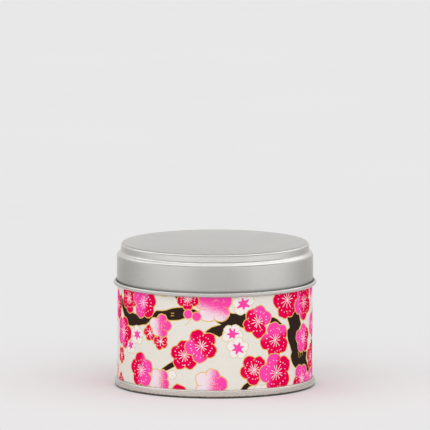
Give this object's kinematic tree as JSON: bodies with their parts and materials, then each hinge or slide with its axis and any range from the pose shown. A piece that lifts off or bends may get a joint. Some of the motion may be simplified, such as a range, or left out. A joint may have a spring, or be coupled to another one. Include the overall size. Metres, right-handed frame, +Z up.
{
  "type": "candle tin",
  "caption": "Round tinplate candle tin with a lift-off stepped slip lid, a paper-wrapped body, a double-seamed base, and a wax candle with a wick inside.",
  "frame": {"origin": "centre of the foot circle, on the surface the tin stands on", "axes": "+Z up along the tin's axis; the front seen in the picture faces -Y, and the paper's overlap and the side seam are at +Y"},
  "size_m": [0.0796, 0.0796, 0.0562],
  "materials": {
    "tinplate_body": "satin",
    "tinplate_base": "satin",
    "compound": "matte",
    "paper": "matte",
    "tinplate_lid": "satin",
    "wax": "satin",
    "wick": "matte",
    "tinplate_sustainer": "satin",
    "sticker": "matte"
  },
  "bodies": {
    "tin": {"body_wall": "tinplate_body", "base_end": "tinplate_base", "seam_compound": "compound", "paper_wrap": "paper", "wax_fill": "wax", "wick": "wick", "wick_sustainer": "tinplate_sustainer", "wick_sticker": "sticker"},
    "lid": {"lid": "tinplate_lid"}
  },
  "joints": [
    {"name": "lid_lift", "type": "slide", "parent": "tin", "child": "lid", "axis": [0, 0, 1], "range_m": [0, 0.06]}
  ]
}
